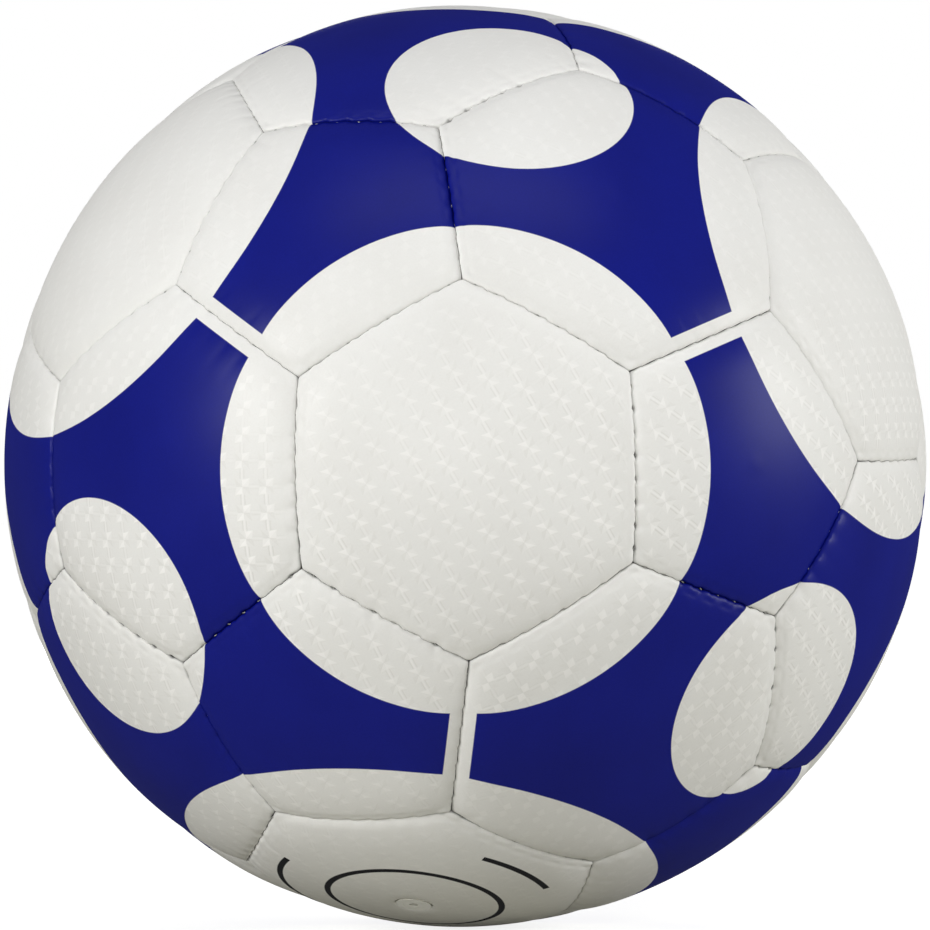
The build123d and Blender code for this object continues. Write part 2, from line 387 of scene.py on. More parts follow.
def joined(this, this_count, next_, next_count):
    """Faces from a ring of points to the next one, which has as many, twice as many or half as many."""
    faces = []
    count = min(this_count, next_count)
    for j in range(count):
        k = (j + 1) % count
        if this_count == next_count:
            faces.append((next_ + j, next_ + k, this + k, this + j))
        elif next_count > this_count:
            faces.append((next_ + 2 * j, next_ + 2 * j + 1, this + j))
            faces.append((next_ + 2 * j + 1, next_ + 2 * k, this + k, this + j))
        else:
            faces.append((next_ + j, this + 2 * j + 1, this + 2 * j))
            faces.append((next_ + j, next_ + k, this + 2 * k, this + 2 * j + 1))
    return faces


def ring_plan(panel):
    """The rings from the panel's middle out over its face: the inset, points to a side and roundness."""
    width = panel.apothem * ball_radius
    inner = valve_hole_radius if panel.node == "valve_panel" else face_middle_radius
    plan = []
    for share in np.linspace(0, 1, face_rings):
        inset = width - inner - share * (width - inner - face_edge)
        plan.append((inset, sparse if share < 0.4 else coarse, (1 - share) ** 0.7))
    if panel.node == "valve_panel":
        rolls = np.linspace(0, 1.5, 5)
        lip = [(width - inner - valve_lip * (1 - math.cos(roll)), sparse, 1.0) for roll in rolls]
        plan = lip + plan[1:]
    plan += [(inset, medium, 0.0) for inset in medium_insets]
    plan += [(inset, fine, 0.0) for inset in fine_insets]
    lowest = math.acos((1 - seam_gap / 2 / shoulder_width) ** (shoulder_fullness / 2))
    for angle in np.linspace(math.pi / 2, lowest, shoulder_rings):
        plan.append((shoulder_width * (1 - math.cos(angle) ** (2 / shoulder_fullness)), fine, 0.0))
    return plan


def leather_mesh(panel):
    """One panel as a closed skin: its face, its edges down to the hems' ends, and its pocket behind."""
    width = panel.apothem * ball_radius
    points, depths, flats, insets, starts = [], [], [], [], []

    def add_ring(positions, depth, directions, inset, count):
        starts.append((sum(len(p) for p in points), count * panel.sides))
        points.append(positions)
        depths.append(depth)
        angle = np.arccos(np.clip(directions @ panel.centre, -1, 1))
        flat = directions @ panel.axes[:2].T
        length = np.maximum(np.linalg.norm(flat, axis=1), 1e-9)
        flats.append(flat * (ball_radius * angle / length)[:, None])
        insets.append(np.full(len(positions), inset))

    plan = ring_plan(panel)
    for inset, count, roundness in plan:
        directions = ring(panel, inset, count, roundness)
        positions, depth, _ = shaped(panel, directions)
        add_ring(positions, depth, directions, inset, count)

    # Down the fold to the hem's end, in under it and up to the pocket's ceiling
    gap_inset = plan[-1][0]
    below = ((gap_inset, fine, fold_depth), (gap_inset, medium, hem_depth),
             (hem_thickness, medium, hem_depth), (hem_thickness, medium, skin_thickness),
             (pocket_edge, coarse, skin_thickness))
    for inset, count, drop in below:
        directions = ring(panel, inset, count)
        _, _, shift = shaped(panel, directions)
        positions = directions * (ball_radius - drop)
        positions = positions + (shift if inset == gap_inset else 0)
        add_ring(positions, np.full(len(positions), drop), directions, inset, count)
    inner = valve_hole_radius if panel.node == "valve_panel" else pocket_middle_radius
    directions = ring(panel, width - inner, sparse, 1.0)
    add_ring(directions * (ball_radius - skin_thickness), np.full(len(directions), skin_thickness),
             directions, width, sparse)

    faces = []
    for (this, this_count), (next_, next_count) in zip(starts, starts[1:]):
        faces += joined(this, this_count, next_, next_count)
    (first, first_count), (last, last_count) = starts[0], starts[-1]
    if panel.node == "valve_panel":
        faces += joined(last, last_count, first, first_count)
    else:
        total = sum(len(p) for p in points)
        points += [[panel.centre * (ball_radius - surface_margin - unevenness)],
                   [panel.centre * (ball_radius - skin_thickness)]]
        depths += [[0], [skin_thickness]]
        flats += [[(0, 0)], [(0, 0)]]
        insets += [[width], [width]]
        for j in range(first_count):
            faces.append((total, first + j, first + (j + 1) % first_count))
        for j in range(last_count):
            faces.append((total + 1, last + (j + 1) % last_count, last + j))

    mesh = bpy.data.meshes.new(panel.name)
    mesh.from_pydata(np.concatenate(points).tolist(), [], faces)
    flats = np.concatenate(flats)
    corners = np.zeros(len(mesh.loops), dtype=np.int32)
    mesh.loops.foreach_get("vertex_index", corners)
    cut_flat = mesh.uv_layers.new(name="cut_flat")
    cut_flat.uv.foreach_set("vector", flats[corners].ravel().astype(np.float32))
    # The facets' painted gleam follows the way up across the panel, where the light comes from, turned per
    # panel
    gleam = math.atan2(panel.axes[1][2], panel.axes[0][2])
    gleam += math.radians(gleam_turn.get(panel.node, usual_gleam))
    gleams = [np.full(len(flats), gleam)]
    for name, values in (("depth", depths), ("inset", insets), ("gleam", gleams)):
        stored = mesh.attributes.new(name, "FLOAT", "POINT")
        stored.data.foreach_set("value", np.concatenate(values).astype(np.float32))
    mesh.shade_smooth()
    return mesh


# ---------------------------------------------------------------- materials
math_node, map_range, mix = "ShaderNodeMath", "ShaderNodeMapRange", "ShaderNodeMix"
noise = "ShaderNodeTexNoise"

# Sizes of the textures' patches, in millimetres
gleam_patch = 71.4
press_patch = 33.3
bite_patch = 90.9
cloud_patch = 22.2
leather_grain = 0.385
thread_twist = 0.45

# Colours of the leather
pearl_shade, pearl = "#e7e6e3", "#f1f1ef"
# Painted highlight and painted shade of the emboss
painted_emboss_highlight, painted_emboss_shade = "#fcfbf9", "#bdbab0"
deep_blue, blue = "#040c6b", "#0c1783"
ring_black = "#060608"
# Painted shade deep in the seams and stitch holes
seam_shade_colour = "#23221d"

# Shares of the leather's marks in its colour and its relief
flecking = 0.6
emboss_shade_share = 0.26
score_shade_share = 0.55
score_relief = 0.9
grain_relief = 0.08
inked_relief = 0.06
least_press = 0.25
least_bite = 0.65
pit_shade_share = 0.95


def per_metre(size):
    """The scale of a texture whose patches are so many millimetres across."""
    return 1000 / size


def srgb(colour):
    """A hex colour as linear red, green, blue and full alpha."""
    parts = [int(colour[place:place + 2], 16) / 255 for place in (1, 3, 5)]
    linear = [part / 12.92 if part <= 0.04045 else ((part + 0.055) / 1.055) ** 2.4 for part in parts]
    return (*linear, 1.0)


def add_node(tree, kind, inputs=None, **settings):
    """Adds a node: its settings by name, and each input as a value, or the node or output that feeds it."""
    made = tree.nodes.new(kind)
    for name, value in settings.items():
        setattr(made, name, value)
    for socket, value in (inputs or {}).items():
        if isinstance(value, bpy.types.Node):
            value = next(output for output in value.outputs if output.enabled)
        if isinstance(value, bpy.types.NodeSocket):
            tree.links.new(value, made.inputs[socket])
        else:
            made.inputs[socket].default_value = value
    return made


def new_material(name):
    """An empty node material, its tree and its surface shader."""
    material = bpy.data.materials.new(name)
    material.use_nodes = True
    tree = material.node_tree
    tree.nodes.clear()
    shader = add_node(tree, "ShaderNodeBsdfPrincipled")
    add_node(tree, "ShaderNodeOutputMaterial", {"Surface": shader})
    return material, tree, shader


def emboss(tree):
    """A square lattice of four-pointed stars joined by bars: its relief, which also carries the painted gleam
    of facets and bars, and the lines cut beside the bars.
    """
    flat = add_node(tree, "ShaderNodeUVMap", uv_map="cut_flat")
    scaled = add_node(tree, "ShaderNodeVectorMath", {0: flat, 3: 1 / emboss_pitch}, operation="SCALE")
    axes = add_node(tree, "ShaderNodeSeparateXYZ", {0: scaled}).outputs
    signed, folded = [], []
    for axis in (axes[0], axes[1]):
        cell = add_node(tree, math_node, {0: axis}, operation="FRACT")
        signed.append(add_node(tree, math_node, {0: cell, 1: 0.5}, operation="SUBTRACT"))
        folded.append(add_node(tree, math_node, {0: signed[-1]}, operation="ABSOLUTE"))
    length = add_node(tree, math_node, {0: folded[0], 1: folded[1]}, operation="MAXIMUM")
    side = add_node(tree, math_node, {0: folded[0], 1: folded[1]}, operation="MINIMUM")

    # The star's outline runs from a notch on each bar out to a tip on each diagonal
    lean = (tip_reach - notch_reach) / tip_reach
    outline = add_node(tree, math_node, {0: side, 1: lean, 2: notch_reach}, operation="MULTIPLY_ADD")
    spare = add_node(tree, math_node, {0: outline, 1: length}, operation="SUBTRACT")
    star = add_node(tree, map_range, {"Value": spare, "From Min": -edge_blur, "From Max": star_blur},
                    interpolation_type="SMOOTHSTEP")

    # Each of its eight facets gets a painted gleam: bright where it lies the panel's set way, about upright,
    # and darker across that
    place = add_node(tree, "ShaderNodeTexCoord").outputs["Object"]
    play = add_node(tree, noise, {"Vector": place, "Scale": per_metre(gleam_patch), "Detail": 0.0})
    swing = add_node(tree, map_range, {"Value": play, "From Min": 0.38, "From Max": 0.62,
                                       "To Min": gleam_play, "To Max": -gleam_play})
    gleam = add_node(tree, "ShaderNodeAttribute", attribute_name="gleam").outputs["Fac"]
    swing = add_node(tree, math_node, {0: gleam, 1: -2.0, 2: swing}, operation="MULTIPLY_ADD")
    around = add_node(tree, math_node, {0: signed[1], 1: signed[0]}, operation="ARCTAN2")
    eighth = add_node(tree, math_node, {0: around, 1: math.pi / 4}, operation="DIVIDE")
    eighth = add_node(tree, math_node, {0: eighth}, operation="FLOOR")
    facet = add_node(tree, math_node, {0: eighth, 1: math.pi / 2, 2: math.pi / 4}, operation="MULTIPLY_ADD")
    facet = add_node(tree, math_node, {0: facet, 1: swing}, operation="ADD")
    facet = add_node(tree, math_node, {0: facet}, operation="COSINE")
    facet_painted_gleam = add_node(tree, math_node, {0: facet, 1: facet_gleam, 2: facet_rest}, operation="MULTIPLY_ADD")
    star = add_node(tree, math_node, {0: star, 1: facet_painted_gleam}, operation="MULTIPLY")

    # The bars between the stars are pressed unevenly, and carry the same painted gleam as the facets that lie
    # their way
    crosswise = add_node(tree, math_node, {0: folded[0], 1: folded[1]}, operation="LESS_THAN")
    crosswise = add_node(tree, math_node, {0: crosswise, 1: math.pi, 2: swing}, operation="MULTIPLY_ADD")
    crosswise = add_node(tree, math_node, {0: crosswise}, operation="COSINE")
    lit = add_node(tree, math_node, {0: crosswise, 1: bar_gleam, 2: bar_rest}, operation="MULTIPLY_ADD")
    press_and_gleam = add_node(tree, noise, {"Vector": place, "Scale": per_metre(press_patch), "Detail": 1.0})
    press_and_gleam = add_node(tree, map_range, {"Value": press_and_gleam, "From Min": 0.42, "From Max": 0.62,
                                       "To Min": least_press})
    press_and_gleam = add_node(tree, math_node, {0: press_and_gleam, 1: lit}, operation="MULTIPLY")
    bar = add_node(tree, map_range, {"Value": side, "From Min": bar_half_width + edge_blur,
                                     "From Max": bar_half_width - edge_blur})
    bar_end = add_node(tree, map_range, {"Value": length, "From Min": notch_reach - bar_overlap,
                                         "From Max": notch_reach})
    for share in (bar_end, press_and_gleam):
        bar = add_node(tree, math_node, {0: bar, 1: share}, operation="MULTIPLY")
    relief_and_gleam = add_node(tree, math_node, {0: star, 1: bar}, operation="ADD")

    # A line is scored on each side of a bar, and stops short of the stars
    beside = add_node(tree, math_node, {0: side, 1: score_offset}, operation="SUBTRACT")
    beside = add_node(tree, math_node, {0: beside}, operation="ABSOLUTE")
    score = add_node(tree, map_range, {"Value": beside, "From Min": score_half_width + edge_blur,
                                       "From Max": score_half_width - edge_blur})
    score_end = add_node(tree, map_range, {"Value": length, "From Min": notch_reach + score_start,
                                           "From Max": notch_reach + score_full})
    for share in (score_end, press_and_gleam):
        score = add_node(tree, math_node, {0: score, 1: share}, operation="MULTIPLY")
    return relief_and_gleam, score


def inked(tree):
    """1 where the sheet is printed: everywhere but in the discs and in the bands that link the large ones."""
    place = add_node(tree, "ShaderNodeTexCoord").outputs["Object"]
    turn = Matrix(simple_to_ball.T.tolist()).to_euler()
    turned = add_node(tree, "ShaderNodeMapping", {"Vector": place, "Rotation": turn})
    outward = add_node(tree, "ShaderNodeVectorMath", {0: turned}, operation="NORMALIZE")
    folded = add_node(tree, "ShaderNodeVectorMath", {0: outward}, operation="ABSOLUTE")
    x, y, z = list(add_node(tree, "ShaderNodeSeparateXYZ", {0: folded}).outputs)[:3]
    soft = print_edge / ball_radius

    # The large discs stand round the directions (1, 1, 1), and the small ones round the axes
    total = add_node(tree, math_node, {0: x, 1: y}, operation="ADD")
    total = add_node(tree, math_node, {0: total, 1: z}, operation="ADD")
    most = add_node(tree, math_node, {0: x, 1: y}, operation="MAXIMUM")
    most = add_node(tree, math_node, {0: most, 1: z}, operation="MAXIMUM")
    bare = 0.0
    for value, long, angle in ((total, math.sqrt(3), large_disc_angle), (most, 1.0, small_disc_angle)):
        edge, slope = long * math.cos(angle), long * math.sin(angle)
        disc = add_node(tree, map_range, {"Value": value, "From Min": edge - slope * soft,
                                          "From Max": edge + slope * soft})
        bare = add_node(tree, math_node, {0: bare, 1: disc}, operation="MAXIMUM")

    # A band lies along a seam: within a distance of the seam's plane, and between the seam's ends
    half, reach = band_half_width / ball_radius, math.sin(seam_half_angle)
    sine, cosine = math.sin(hexagon_to_hexagon), math.cos(hexagon_to_hexagon)
    for along, towards, across in ((x, y, z), (z, x, y), (y, z, x)):
        off = add_node(tree, math_node, {0: across, 1: sine}, operation="MULTIPLY")
        near = add_node(tree, math_node, {0: towards, 1: cosine}, operation="MULTIPLY")
        off = add_node(tree, math_node, {0: near, 1: off}, operation="SUBTRACT")
        off = add_node(tree, math_node, {0: off}, operation="ABSOLUTE")
        band = add_node(tree, map_range, {"Value": off, "From Min": half + soft, "From Max": half - soft})
        within = add_node(tree, map_range, {"Value": along, "From Min": reach + soft,
                                            "From Max": reach - soft})
        band = add_node(tree, math_node, {0: band, 1: within}, operation="MULTIPLY")
        bare = add_node(tree, math_node, {0: bare, 1: band}, operation="MAXIMUM")
    return add_node(tree, math_node, {0: 1.0, 1: bare}, operation="SUBTRACT")


def ringed(tree):
    """1 on the thin ring printed round the valve, and on the broken arcs outside it."""
    flat = add_node(tree, "ShaderNodeUVMap", uv_map="cut_flat")
    radius = add_node(tree, "ShaderNodeVectorMath", {0: flat}, operation="LENGTH").outputs["Value"]
    axes = add_node(tree, "ShaderNodeSeparateXYZ", {0: flat}).outputs
    angle = add_node(tree, math_node, {0: axes[1], 1: axes[0]}, operation="ARCTAN2")
    half = ring_line / 2
    full_turn = (-4.0, 4.0)
    lines = 0.0
    for middle, (first, last) in ((ring_radius, full_turn), *((arc_radius, ends) for ends in arc_ends)):
        off = add_node(tree, math_node, {0: radius, 1: middle}, operation="SUBTRACT")
        off = add_node(tree, math_node, {0: off}, operation="ABSOLUTE")
        line = add_node(tree, map_range, {"Value": off, "From Min": half + print_edge,
                                          "From Max": half - print_edge})
        after = add_node(tree, math_node, {0: angle, 1: first}, operation="GREATER_THAN")
        before = add_node(tree, math_node, {0: angle, 1: last}, operation="LESS_THAN")
        for share in (after, before):
            line = add_node(tree, math_node, {0: line, 1: share}, operation="MULTIPLY")
        lines = add_node(tree, math_node, {0: lines, 1: line}, operation="MAXIMUM")
    return lines


def leather(name, printed=False, with_ring=False):
    """Synthetic leather: a polyurethane skin pressed on a hot embossing roller, and screen-printed."""
    # Its colour is pearl white, with painted highlight and painted shade on the facets of its emboss and
    # painted shade deep in the seams. The ink fills the pressing, and is a smooth deep blue with a soft
    # sheen.
    material, tree, shader = new_material(name)
    place = add_node(tree, "ShaderNodeTexCoord").outputs["Object"]
    height = add_node(tree, "ShaderNodeSeparateXYZ", {0: place}).outputs[2]
    inset = add_node(tree, "ShaderNodeAttribute", attribute_name="inset").outputs["Fac"]
    depth = add_node(tree, "ShaderNodeAttribute", attribute_name="depth").outputs["Fac"]

    # The press leaves the edges plain; the emboss and its painted gleam fade towards the top, where the light
    # falls square on them, and towards the foot
    relief_and_gleam, score = emboss(tree)
    clear = add_node(tree, map_range, {"Value": inset, "From Min": plain_edge, "From Max": pressed_edge},
                     interpolation_type="SMOOTHSTEP")
    for plain, full, least in emboss_fade_heights:
        part = add_node(tree, map_range, {"Value": height, "From Min": plain * ball_radius,
                                          "From Max": full * ball_radius, "To Min": least})
        clear = add_node(tree, math_node, {0: clear, 1: part}, operation="MULTIPLY")
    bite = add_node(tree, noise, {"Vector": place, "Scale": per_metre(bite_patch), "Detail": 1.0})
    bite = add_node(tree, map_range, {"Value": bite, "From Min": 0.38, "From Max": 0.6, "To Min": least_bite})
    clear = add_node(tree, math_node, {0: clear, 1: bite}, operation="MULTIPLY")
    relief_and_gleam = add_node(tree, math_node, {0: relief_and_gleam, 1: clear}, operation="MULTIPLY")
    score = add_node(tree, math_node, {0: score, 1: clear}, operation="MULTIPLY")

    # The sheet's own colour is slightly clouded and flecked
    cloud = add_node(tree, noise, {"Vector": place, "Scale": per_metre(cloud_patch), "Detail": 3.0})
    grain = add_node(tree, noise, {"Vector": place, "Scale": per_metre(leather_grain), "Detail": 2.0})
    fleck = add_node(tree, math_node, {0: grain, 1: flecking, 2: -flecking / 2}, operation="MULTIPLY_ADD")
    fleck = add_node(tree, math_node, {0: cloud, 1: fleck}, operation="ADD")
    colour = add_node(tree, mix, {0: fleck, 6: srgb(pearl_shade), 7: srgb(pearl)}, data_type="RGBA")
    # Painted highlight on the facets and bars that face the light, painted shade on those across them
    painted_facet_shade = add_node(tree, math_node, {0: relief_and_gleam, 1: -emboss_shade_share}, operation="MULTIPLY")
    # Painted shade in the scored lines
    painted_score_shade = add_node(tree, math_node, {0: score, 1: score_shade_share}, operation="MULTIPLY")
    for share, mark in ((relief_and_gleam, painted_emboss_highlight), (painted_facet_shade, painted_emboss_shade), (painted_score_shade, painted_emboss_shade)):
        colour = add_node(tree, mix, {0: share, 6: colour, 7: srgb(mark)}, data_type="RGBA")
    relief = add_node(tree, math_node, {0: score, 1: -score_relief, 2: relief_and_gleam}, operation="MULTIPLY_ADD")
    if with_ring:
        colour = add_node(tree, mix, {0: ringed(tree), 6: colour, 7: srgb(ring_black)}, data_type="RGBA")

    # Painted shade in the seams: less of it higher up, where more light falls into them, and the full share
    # in blue leather
    seam_shade_share = add_node(tree, map_range, {"Value": height, "From Min": -0.15 * ball_radius,
                                       "From Max": 0.35 * ball_radius, "To Min": 0.9, "To Max": 0.2})
    if printed:
        ink = inked(tree)
        inks = add_node(tree, mix, {0: fleck, 6: srgb(deep_blue), 7: srgb(blue)}, data_type="RGBA")
        colour = add_node(tree, mix, {0: ink, 6: colour, 7: inks}, data_type="RGBA")
        filled = add_node(tree, map_range, {"Value": ink, "To Min": 1.0, "To Max": inked_relief})
        relief = add_node(tree, math_node, {0: relief, 1: filled}, operation="MULTIPLY")
        seam_shade_share = add_node(tree, math_node, {0: seam_shade_share, 1: ink}, operation="MAXIMUM")
    # Painted shade deep in the seams, and painted black deepest in the stitch holes
    painted_seam_shade = add_node(tree, map_range, {"Value": depth, "From Min": shade_start_depth, "From Max": dark_depth,
                                       "To Max": seam_shade_share})
    pit_shade = add_node(tree, map_range, {"Value": depth, "From Min": dark_depth, "From Max": pit_depth,
                                     "To Max": pit_shade_share})
    painted_seam_shade = add_node(tree, math_node, {0: painted_seam_shade, 1: pit_shade}, operation="MAXIMUM")
    colour = add_node(tree, mix, {0: painted_seam_shade, 6: colour, 7: srgb(seam_shade_colour)}, data_type="RGBA")
    relief = add_node(tree, math_node, {0: grain, 1: grain_relief, 2: relief}, operation="MULTIPLY_ADD")
    bump = add_node(tree, "ShaderNodeBump", {"Strength": 0.7, "Distance": emboss_height, "Height": relief})
    tree.links.new(colour.outputs[2], shader.inputs["Base Color"])
    tree.links.new(bump.outputs[0], shader.inputs["Normal"])

    # Only a thin satin topcoat shines, so that deep colours stay deep
    for socket, value in (("Roughness", 0.60), ("Specular IOR Level", 0.0), ("Coat Weight", 0.04),
                          ("Coat IOR", 3.0), ("Coat Roughness", 0.34)):
        shader.inputs[socket].default_value = value
    return material


def thread_finish():
    """Waxed polyester thread, off-white but painted grey as painted shade deep in the seams, with a slight
    shine and the fine slant of its twist.
    """
    material, tree, shader = new_material("waxed_polyester_thread")
    place = add_node(tree, "ShaderNodeTexCoord").outputs["Object"]
    # The bands of this texture are a fifth of pi apart
    scale = math.pi / 5 * per_metre(thread_twist)
    twist = add_node(tree, "ShaderNodeTexWave", {"Vector": place, "Scale": scale}, bands_direction="DIAGONAL")
    strand = twist.outputs["Fac"]
    # The thread's grey is painted shade for the depth of the seams
    colour = add_node(tree, mix, {0: strand, 6: srgb("#8f8f8b"), 7: srgb("#b9b9b4")}, data_type="RGBA")
    tree.links.new(colour.outputs[2], shader.inputs["Base Color"])
    shader.inputs["Roughness"].default_value = 0.45
    return material


def plain_finish(name, dark, light, size, roughness, depth, kind=noise):
    """A surface whose colour and relief follow one fine texture, its patches so many millimetres across."""
    material, tree, shader = new_material(name)
    place = add_node(tree, "ShaderNodeTexCoord").outputs["Object"]
    texture = add_node(tree, kind, {"Vector": place, "Scale": per_metre(size)})
    colour = add_node(tree, mix, {0: texture, 6: srgb(dark), 7: srgb(light)}, data_type="RGBA")
    tree.links.new(colour.outputs[2], shader.inputs["Base Color"])
    bump = add_node(tree, "ShaderNodeBump", {"Strength": 0.5, "Distance": depth, "Height": texture})
    tree.links.new(bump.outputs[0], shader.inputs["Normal"])
    shader.inputs["Roughness"].default_value = roughness
    return material


white_leather = leather("embossed_pearl_leather")
valve_leather = leather("embossed_pearl_leather_with_ring", with_ring=True)
printed_leather = leather("printed_satin_leather", printed=True)
thread = thread_finish()
voronoi = "ShaderNodeTexVoronoi"
inner_finishes = {
    # Polyethylene foam: cream and dead matt, pitted by its closed cells
    "foam": plain_finish("closed_cell_foam", "#cfcabb", "#e9e5d8", 1.1, 0.9, 0.0001, voronoi),
    # Cotton and polyester cloth stiffened with latex: ecru and matt, with a fine uneven grain
    "lining_cloth": plain_finish("laminated_lining_cloth", "#b5ad98", "#d9d2be", 0.77, 0.85, 0.0001),
    # Moulded butyl: near black, with the soft shine of dusted rubber
    "bladder_rubber": plain_finish("butyl_rubber", "#0c0c0c", "#1b1b1b", 2.0, 0.55, 0.00003),
    # Moulded pale rubber: off-white, a little smoother than the leather round it, and painted a little darker
    # than it as painted shade at the valve
    "valve_rubber": plain_finish("valve_rubber", "#cfcec4", "#dbdad0", 1.43, 0.5, 0.00003),
    # Needled wool felt: mottled grey, with no shine at all
    "felt": plain_finish("needled_felt", "#6e6c66", "#96938b", 0.91, 0.95, 0.0002),
}

# ---------------------------------------------------------------- pieces
slots = {part["node"]: part["material_slot"] for part in frame["record"]["subparts"]}


def add_object(name, data):
    """A new object in the scene, with this mesh, lamp or camera."""
    item = bpy.data.objects.new(name, data)
    bpy.context.scene.collection.objects.link(item)
    return item


def add_piece(name, mesh, material):
    mesh.materials.append(material)
    return add_object(name, mesh)


def finished(piece, node):
    """Hangs a piece on the root body and hides the node that it replaces."""
    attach(piece, "root")
    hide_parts(node)


for panel in panels:
    is_white = any(panel.centre @ white > 0.999 for white in white_centres)
    finish = printed_leather
    if is_white:
        finish = valve_leather if panel.node == "valve_panel" else white_leather
    finished(add_piece(panel.name, leather_mesh(panel), finish), panel.node)


# ---------------------------------------------------------------- stitches
def seam_lines(numbers):
    """A mesh of lines, one along the stitched part of each seam, at the thread's depth."""
    points, edges = [], []
    travels = np.linspace(-stitch_spaces / 2, stitch_spaces / 2, 8 * stitch_spaces + 1) * stitch_step
    angles = (travels / ball_radius)[:, None]
    for number in numbers:
        middle, along = seam_middles[number], seam_alongs[number]
        sunk = thread_depth + (disc_thread_sink if through_discs[number] else 0)
        line = (np.cos(angles) * middle + np.sin(angles) * along) * (ball_radius - sunk)
        line += np.outer(seam_shift(number, travels), np.cross(along, middle))
        edges += [(len(points) + j, len(points) + j + 1) for j in range(len(line) - 1)]
        points += line.tolist()
    mesh = bpy.data.meshes.new("seam_lines")
    mesh.from_pydata(points, edges, [])
    return mesh


def stitch_tree():
    """Nodes that lay a short bowed bar of thread across each line at every stitch."""
    tree = bpy.data.node_groups.new("stitches", "GeometryNodeTree")
    named = [("Geometry", "NodeSocketGeometry"), ("Stitches", "NodeSocketInt")]
    named += [(size, "NodeSocketFloat") for size in ("Thread diameter", "Reach", "Bow", "Slant", "Turn")]
    sockets = {}
    for name, kind in named:
        sockets[name] = tree.interface.new_socket(name, in_out="INPUT", socket_type=kind).identifier
    tree.interface.new_socket("Geometry", in_out="OUTPUT", socket_type="NodeSocketGeometry")
    given = add_node(tree, "NodeGroupInput").outputs

    # Points along the seams, each turned so that Z points out of the ball and X along its seam
    curve = add_node(tree, "GeometryNodeMeshToCurve", {"Mesh": given["Geometry"]})
    spaced = add_node(tree, "GeometryNodeResampleCurve", {"Curve": curve, "Count": given["Stitches"]})
    place = add_node(tree, "GeometryNodeInputPosition")
    tangent = add_node(tree, "GeometryNodeInputTangent")
    facing = add_node(tree, "FunctionNodeAxesToRotation", {0: place, 1: tangent},
                      primary_axis="Z", secondary_axis="X")

    # The bar dips at both ends, into its holes
    half = add_node(tree, math_node, {0: given["Reach"], 1: 0.5}, operation="MULTIPLY")
    back = add_node(tree, math_node, {0: half, 1: -1.0}, operation="MULTIPLY")
    dip = add_node(tree, math_node, {0: given["Bow"], 1: -1.0}, operation="MULTIPLY")
    start = add_node(tree, "ShaderNodeCombineXYZ", {"Y": back, "Z": dip})
    crest = add_node(tree, "ShaderNodeCombineXYZ", {"Z": given["Bow"]})
    end = add_node(tree, "ShaderNodeCombineXYZ", {"Y": half, "Z": dip})
    bar = add_node(tree, "GeometryNodeCurveQuadraticBezier",
                   {"Resolution": 5, "Start": start, "Middle": crest, "End": end})
    radius = add_node(tree, math_node, {0: given["Thread diameter"], 1: 0.5}, operation="MULTIPLY")
    round_ = add_node(tree, "GeometryNodeCurvePrimitiveCircle", {"Resolution": 8, "Radius": radius})
    solid = add_node(tree, "GeometryNodeCurveToMesh",
                     {"Curve": bar, "Profile Curve": round_, "Fill Caps": True})

    # Every bar slants a little differently across the seam
    least = add_node(tree, math_node, {0: given["Turn"], 1: given["Slant"]}, operation="SUBTRACT")
    most = add_node(tree, math_node, {0: given["Turn"], 1: given["Slant"]}, operation="ADD")
    slant = add_node(tree, "FunctionNodeRandomValue", {2: least, 3: most, "Seed": 3}, data_type="FLOAT")
    about = add_node(tree, "ShaderNodeCombineXYZ", {"Z": slant})
    turned = add_node(tree, "FunctionNodeRotateRotation", {0: facing, 1: about}, rotation_space="LOCAL")
    bars = add_node(tree, "GeometryNodeInstanceOnPoints",
                    {"Points": spaced, "Instance": solid, "Rotation": turned})
    real = add_node(tree, "GeometryNodeRealizeInstances", {0: bars})
    smooth = add_node(tree, "GeometryNodeSetShadeSmooth", {0: real})
    dressed = add_node(tree, "GeometryNodeSetMaterial", {"Geometry": smooth, "Material": thread})
    add_node(tree, "NodeGroupOutput", {0: dressed})
    return tree, sockets


def stitched(name, numbers, tree, sockets):
    """The visible stitches of some seams, as one plain mesh."""
    lines = add_object("seam_lines", seam_lines(numbers))
    modifier = lines.modifiers.new("stitches", "NODES")
    modifier.node_group = tree
    sizes = {"Stitches": stitch_spaces + 1, "Thread diameter": thread_diameter, "Reach": thread_reach,
             "Bow": thread_diameter / 2, "Slant": thread_slant, "Turn": thread_turn}
    for socket, value in sizes.items():
        modifier[sockets[socket]] = value
    graph = bpy.context.evaluated_depsgraph_get()
    laid = lines.evaluated_get(graph)
    mesh = bpy.data.meshes.new_from_object(laid, preserve_all_data_layers=True, depsgraph=graph)
    bpy.data.objects.remove(lines)
    mesh.name = name
    return add_object(name, mesh)


tree, sockets = stitch_tree()
nearest_pentagon = np.max(seam_middles @ np.array(pentagon_centres).T, axis=1)
pentagon_sides = nearest_pentagon > math.cos(pentagon_apothem) - 1e-4
for kind, chosen in (("hexagon", ~pentagon_sides), ("pentagon", pentagon_sides)):
    piece = stitched(f"{kind}_seam_stitches", np.flatnonzero(chosen), tree, sockets)
    finished(piece, f"{kind}_seam_threads")

# ---------------------------------------------------------------- nodes that stay as they are
replaced = {panel.node for panel in panels} | {"hexagon_seam_threads", "pentagon_seam_threads"}
for node, item in frame["nodes"].items():
    if node in replaced:
        continue
    finish = inner_finishes[slots[node]]
    if not item.material_slots:
        item.data.materials.append(finish)
    for slot in item.material_slots:
        slot.material = finish

# ---------------------------------------------------------------- studio
room_below = 0.04
room_above = 0.14
floor_glow = 0.84
shadow_reach = 3 * ball_radius
white_reach = 9 * ball_radius
floor_half = 60 * ball_radius
camera_distance = 20 * ball_radius
camera_aside, camera_above = -0.0001, 0.0002
lens_length = 357.0
ball_tip = math.radians(0.52)
ball_roll = math.radians(-1.02)
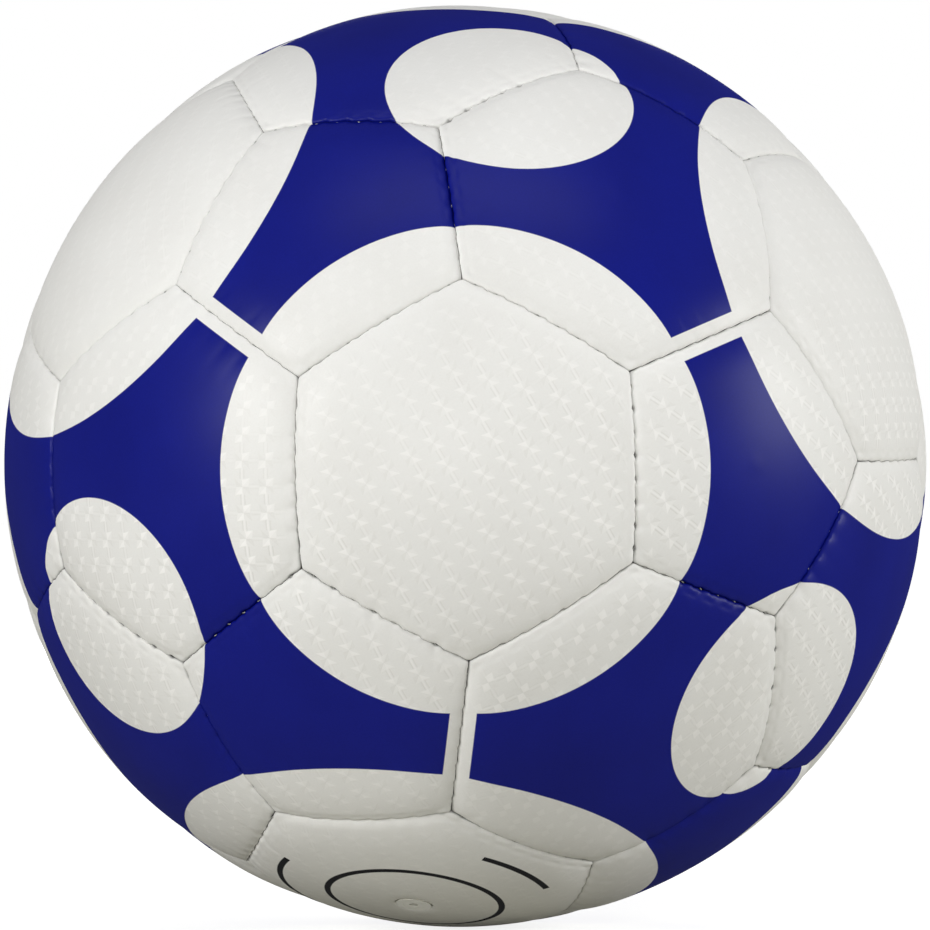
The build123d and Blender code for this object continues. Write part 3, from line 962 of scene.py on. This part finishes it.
# Each soft box: its place, its width and height, and its power in watts
lamps = {"left_lamp": ((-1.18, -0.97, 0.44), (0.50, 0.50), 10.9),
         "front_lamp": ((-0.14, -1.59, 0.14), (0.46, 0.46), 7.1),
         "top_lamp": ((0.0, -0.55, 1.50), (1.50, 0.50), 6.6),
         "right_lamp": ((1.55, -0.19, 0.33), (0.55, 0.55), 13.6),
         "back_lamp": ((0.0, 2.30, 0.30), (0.50, 0.50), 15.0)}


def shown_white(tree):
    """1 where the background is seen straight, in a reflection or through glass."""
    rays = add_node(tree, "ShaderNodeLightPath").outputs
    seen = rays["Is Camera Ray"]
    for ray in ("Is Glossy Ray", "Is Transmission Ray"):
        seen = add_node(tree, math_node, {0: seen, 1: rays[ray]}, operation="MAXIMUM")
    return seen


world = bpy.data.worlds.new("studio")
bpy.context.scene.world = world
world.use_nodes = True
tree = world.node_tree
tree.nodes.clear()
direction = add_node(tree, "ShaderNodeTexCoord").outputs["Generated"]
rise = add_node(tree, "ShaderNodeSeparateXYZ", {0: direction}).outputs[2]
dim = add_node(tree, map_range, {"Value": rise, "From Min": -1.0, "To Min": room_below, "To Max": room_above})
strength = add_node(tree, mix, {0: shown_white(tree), 2: dim, 3: 1.0}, data_type="FLOAT")
light = add_node(tree, "ShaderNodeBackground", {"Color": (1, 1, 1, 1), "Strength": strength})
add_node(tree, "ShaderNodeOutputWorld", {"Surface": light})

# A matt pale floor, seen as white, that keeps the ball's shadow and fades into the white behind it
floor_mesh = bpy.data.meshes.new("floor")
corners = [(x * floor_half, y * floor_half, -ball_radius) for x, y in ((-1, -1), (1, -1), (1, 1), (-1, 1))]
floor_mesh.from_pydata(corners, [], [(0, 1, 2, 3)])
material = bpy.data.materials.new("pale_floor")
material.use_nodes = True
tree = material.node_tree
tree.nodes.clear()
matt = add_node(tree, "ShaderNodeBsdfDiffuse", {"Color": srgb("#b4b2a4")})
pale = add_node(tree, "ShaderNodeBsdfDiffuse", {"Color": srgb("#b4b4b4")})
place = add_node(tree, "ShaderNodeTexCoord").outputs["Object"]
far = add_node(tree, "ShaderNodeVectorMath", {0: place}, operation="LENGTH").outputs["Value"]
far = add_node(tree, map_range, {"Value": far, "From Min": shadow_reach, "From Max": white_reach,
                                 "To Min": floor_glow})
glow = add_node(tree, "ShaderNodeEmission", {"Strength": far})
both = add_node(tree, "ShaderNodeAddShader", {0: pale, 1: glow})
share = add_node(tree, "ShaderNodeMixShader", {0: shown_white(tree), 1: matt, 2: both})
add_node(tree, "ShaderNodeOutputMaterial", {"Surface": share})
add_piece("studio_floor", floor_mesh, material)

for name, (place, size, power) in lamps.items():
    lamp = bpy.data.lights.new(name, "AREA")
    lamp.shape = "RECTANGLE"
    lamp.size, lamp.size_y = size
    lamp.energy = power
    box = add_object(name, lamp)
    box.location = place
    box.rotation_mode = "QUATERNION"
    box.rotation_quaternion = (-Vector(place)).to_track_quat("-Z", "Y")

camera_data = bpy.data.cameras.new("camera")
camera = add_object("camera", camera_data)
bpy.context.scene.camera = camera
camera_data.sensor_width = 36.0
camera_data.lens = lens_length
camera_data.clip_start = camera_distance - 4 * ball_radius
camera_data.clip_end = camera_distance * 20
lean = Matrix.Rotation(ball_tip, 4, "X") @ Matrix.Rotation(ball_roll, 4, "Y")
stand = Matrix.Translation((camera_aside, -camera_distance, camera_above))
camera.matrix_world = lean.inverted() @ (stand @ Matrix.Rotation(math.pi / 2, 4, "X"))

bpy.context.scene.view_settings.view_transform = "Standard"
